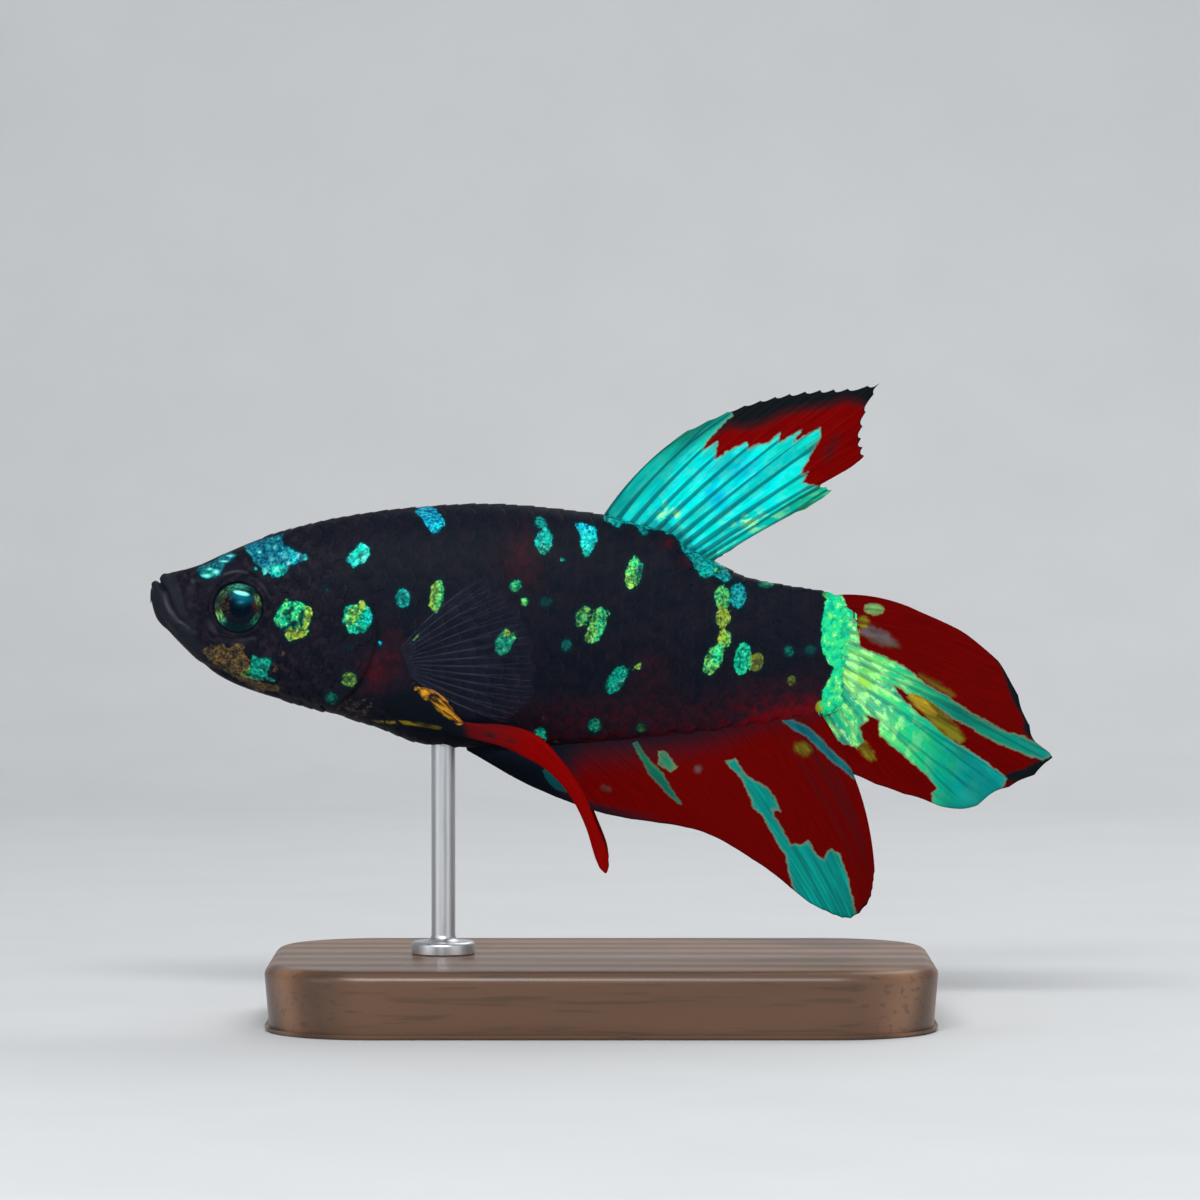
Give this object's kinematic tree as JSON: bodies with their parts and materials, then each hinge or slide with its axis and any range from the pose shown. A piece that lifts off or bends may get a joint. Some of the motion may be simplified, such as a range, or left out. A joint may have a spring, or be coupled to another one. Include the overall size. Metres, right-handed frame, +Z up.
{
  "type": "betta fish model on a display stand",
  "caption": "Life-size still model of a short-finned male betta fish, swimming with its fins open, held over a flat base by one slim rod",
  "frame": {"origin": "the middle of the base's underside, which is the middle of the whole object's floor box", "axes": "+Z up, the fish faces -X, its left side faces -Y; +X is the longest extent"},
  "size_m": [0.0681, 0.03, 0.048],
  "materials": {
    "skin": "near-black scaled skin with turquoise, blue and yellow-green spots, satin",
    "eye": "green-gold iris round a black pupil, under a clear glossy cornea",
    "fin": "deep red membrane with turquoise bands and black edges, satin",
    "clear_fin": "thin smoky membrane with paler rays",
    "base": "dark walnut, oiled",
    "rod": "satin steel"
  },
  "bodies": {
    "root": {"head": "skin", "lower_jaw": "skin", "gill_cover_left": "skin", "gill_cover_right": "skin", "trunk": "skin", "tail_stem": "skin", "eye_left": "eye", "eye_right": "eye", "dorsal_fin": "fin", "caudal_fin": "fin", "anal_fin": "fin", "pectoral_fin_left": "clear_fin", "pectoral_fin_right": "clear_fin", "pelvic_fin_left": "fin", "pelvic_fin_right": "fin", "stand_base": "base", "stand_rod": "rod"}
  },
  "joints": []
}
